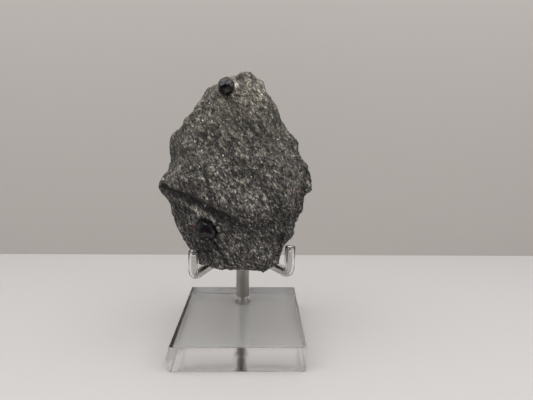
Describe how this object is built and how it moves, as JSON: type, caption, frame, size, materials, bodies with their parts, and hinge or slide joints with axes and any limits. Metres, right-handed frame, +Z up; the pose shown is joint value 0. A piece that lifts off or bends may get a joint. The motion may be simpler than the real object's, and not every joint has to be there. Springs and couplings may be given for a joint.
{
  "type": "garnet in matrix on a display stand",
  "caption": "Lump of dark schist with dark garnet crystals set in its face, held by sleeved steel prongs and a post on a clear square block.",
  "frame": {"origin": "centre of the square block's underside, on the surface that the stand rests on", "axes": "+Z up, +Y from the viewer to the back, where the post stands, +X to the viewer's right"},
  "size_m": [0.059, 0.05, 0.1077],
  "materials": {
    "schist": "dark grey granular schist, broken surface with fine mica glitter",
    "garnet": "near-black red garnet, flat crystal faces with a glassy shine",
    "acrylic": "clear cast acrylic, polished faces",
    "steel": "satin turned steel",
    "rod": "bright drawn steel wire",
    "vinyl": "clear soft vinyl tube, slightly dull skin"
  },
  "bodies": {
    "root": {"matrix": "schist", "garnet_upper": "garnet", "garnet_lower": "garnet", "base": "acrylic", "base_screw": "steel", "post": "steel", "arm_left": "rod", "arm_right": "rod", "sleeve_left": "vinyl", "sleeve_right": "vinyl"}
  },
  "joints": []
}
